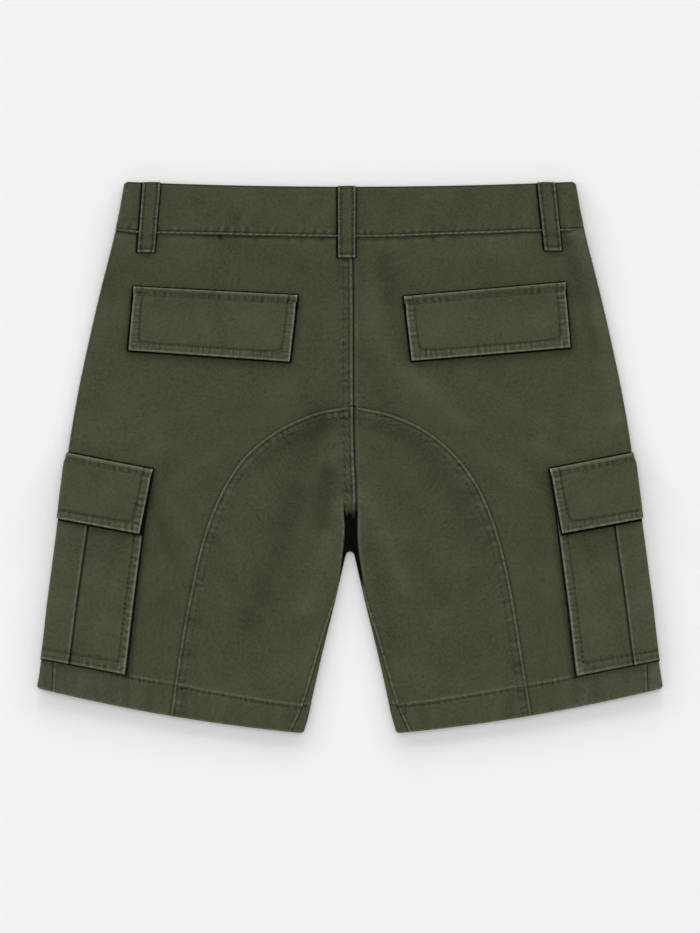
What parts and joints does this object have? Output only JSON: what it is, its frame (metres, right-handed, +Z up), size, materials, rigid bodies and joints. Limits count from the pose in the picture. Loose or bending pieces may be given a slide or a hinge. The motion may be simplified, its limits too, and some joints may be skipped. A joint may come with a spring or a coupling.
{
  "type": "cargo shorts",
  "caption": "Cotton twill cargo shorts laid out flat with the back upwards: arched seat seam, belt loops, back pocket flaps and pleated cargo pockets with flaps.",
  "frame": {"origin": "on the surface that the garment lies on, below the middle of its outer box", "axes": "+Z up from the surface, +Y towards the waist, +X to the right with the back upwards and the waist away from the viewer"},
  "size_m": [0.582, 0.513, 0.0124],
  "materials": {
    "twill": "washed dark olive cotton twill, matt, with tonal stitching and lighter worn edges",
    "button": "dark olive-brown moulded button"
  },
  "bodies": {
    "root": {"waistband": "twill", "belt_loop_back_centre": "twill", "belt_loop_back_left": "twill", "belt_loop_back_right": "twill", "belt_loop_front_left": "twill", "belt_loop_front_right": "twill", "waist_button": "button", "back_side_left": "twill", "back_side_right": "twill", "back_inner_left": "twill", "back_inner_right": "twill", "front_left": "twill", "front_right": "twill", "back_flap_left": "twill", "back_flap_right": "twill", "cargo_pocket_left": "twill", "cargo_pocket_right": "twill", "cargo_flap_left": "twill", "cargo_flap_right": "twill"}
  },
  "joints": []
}
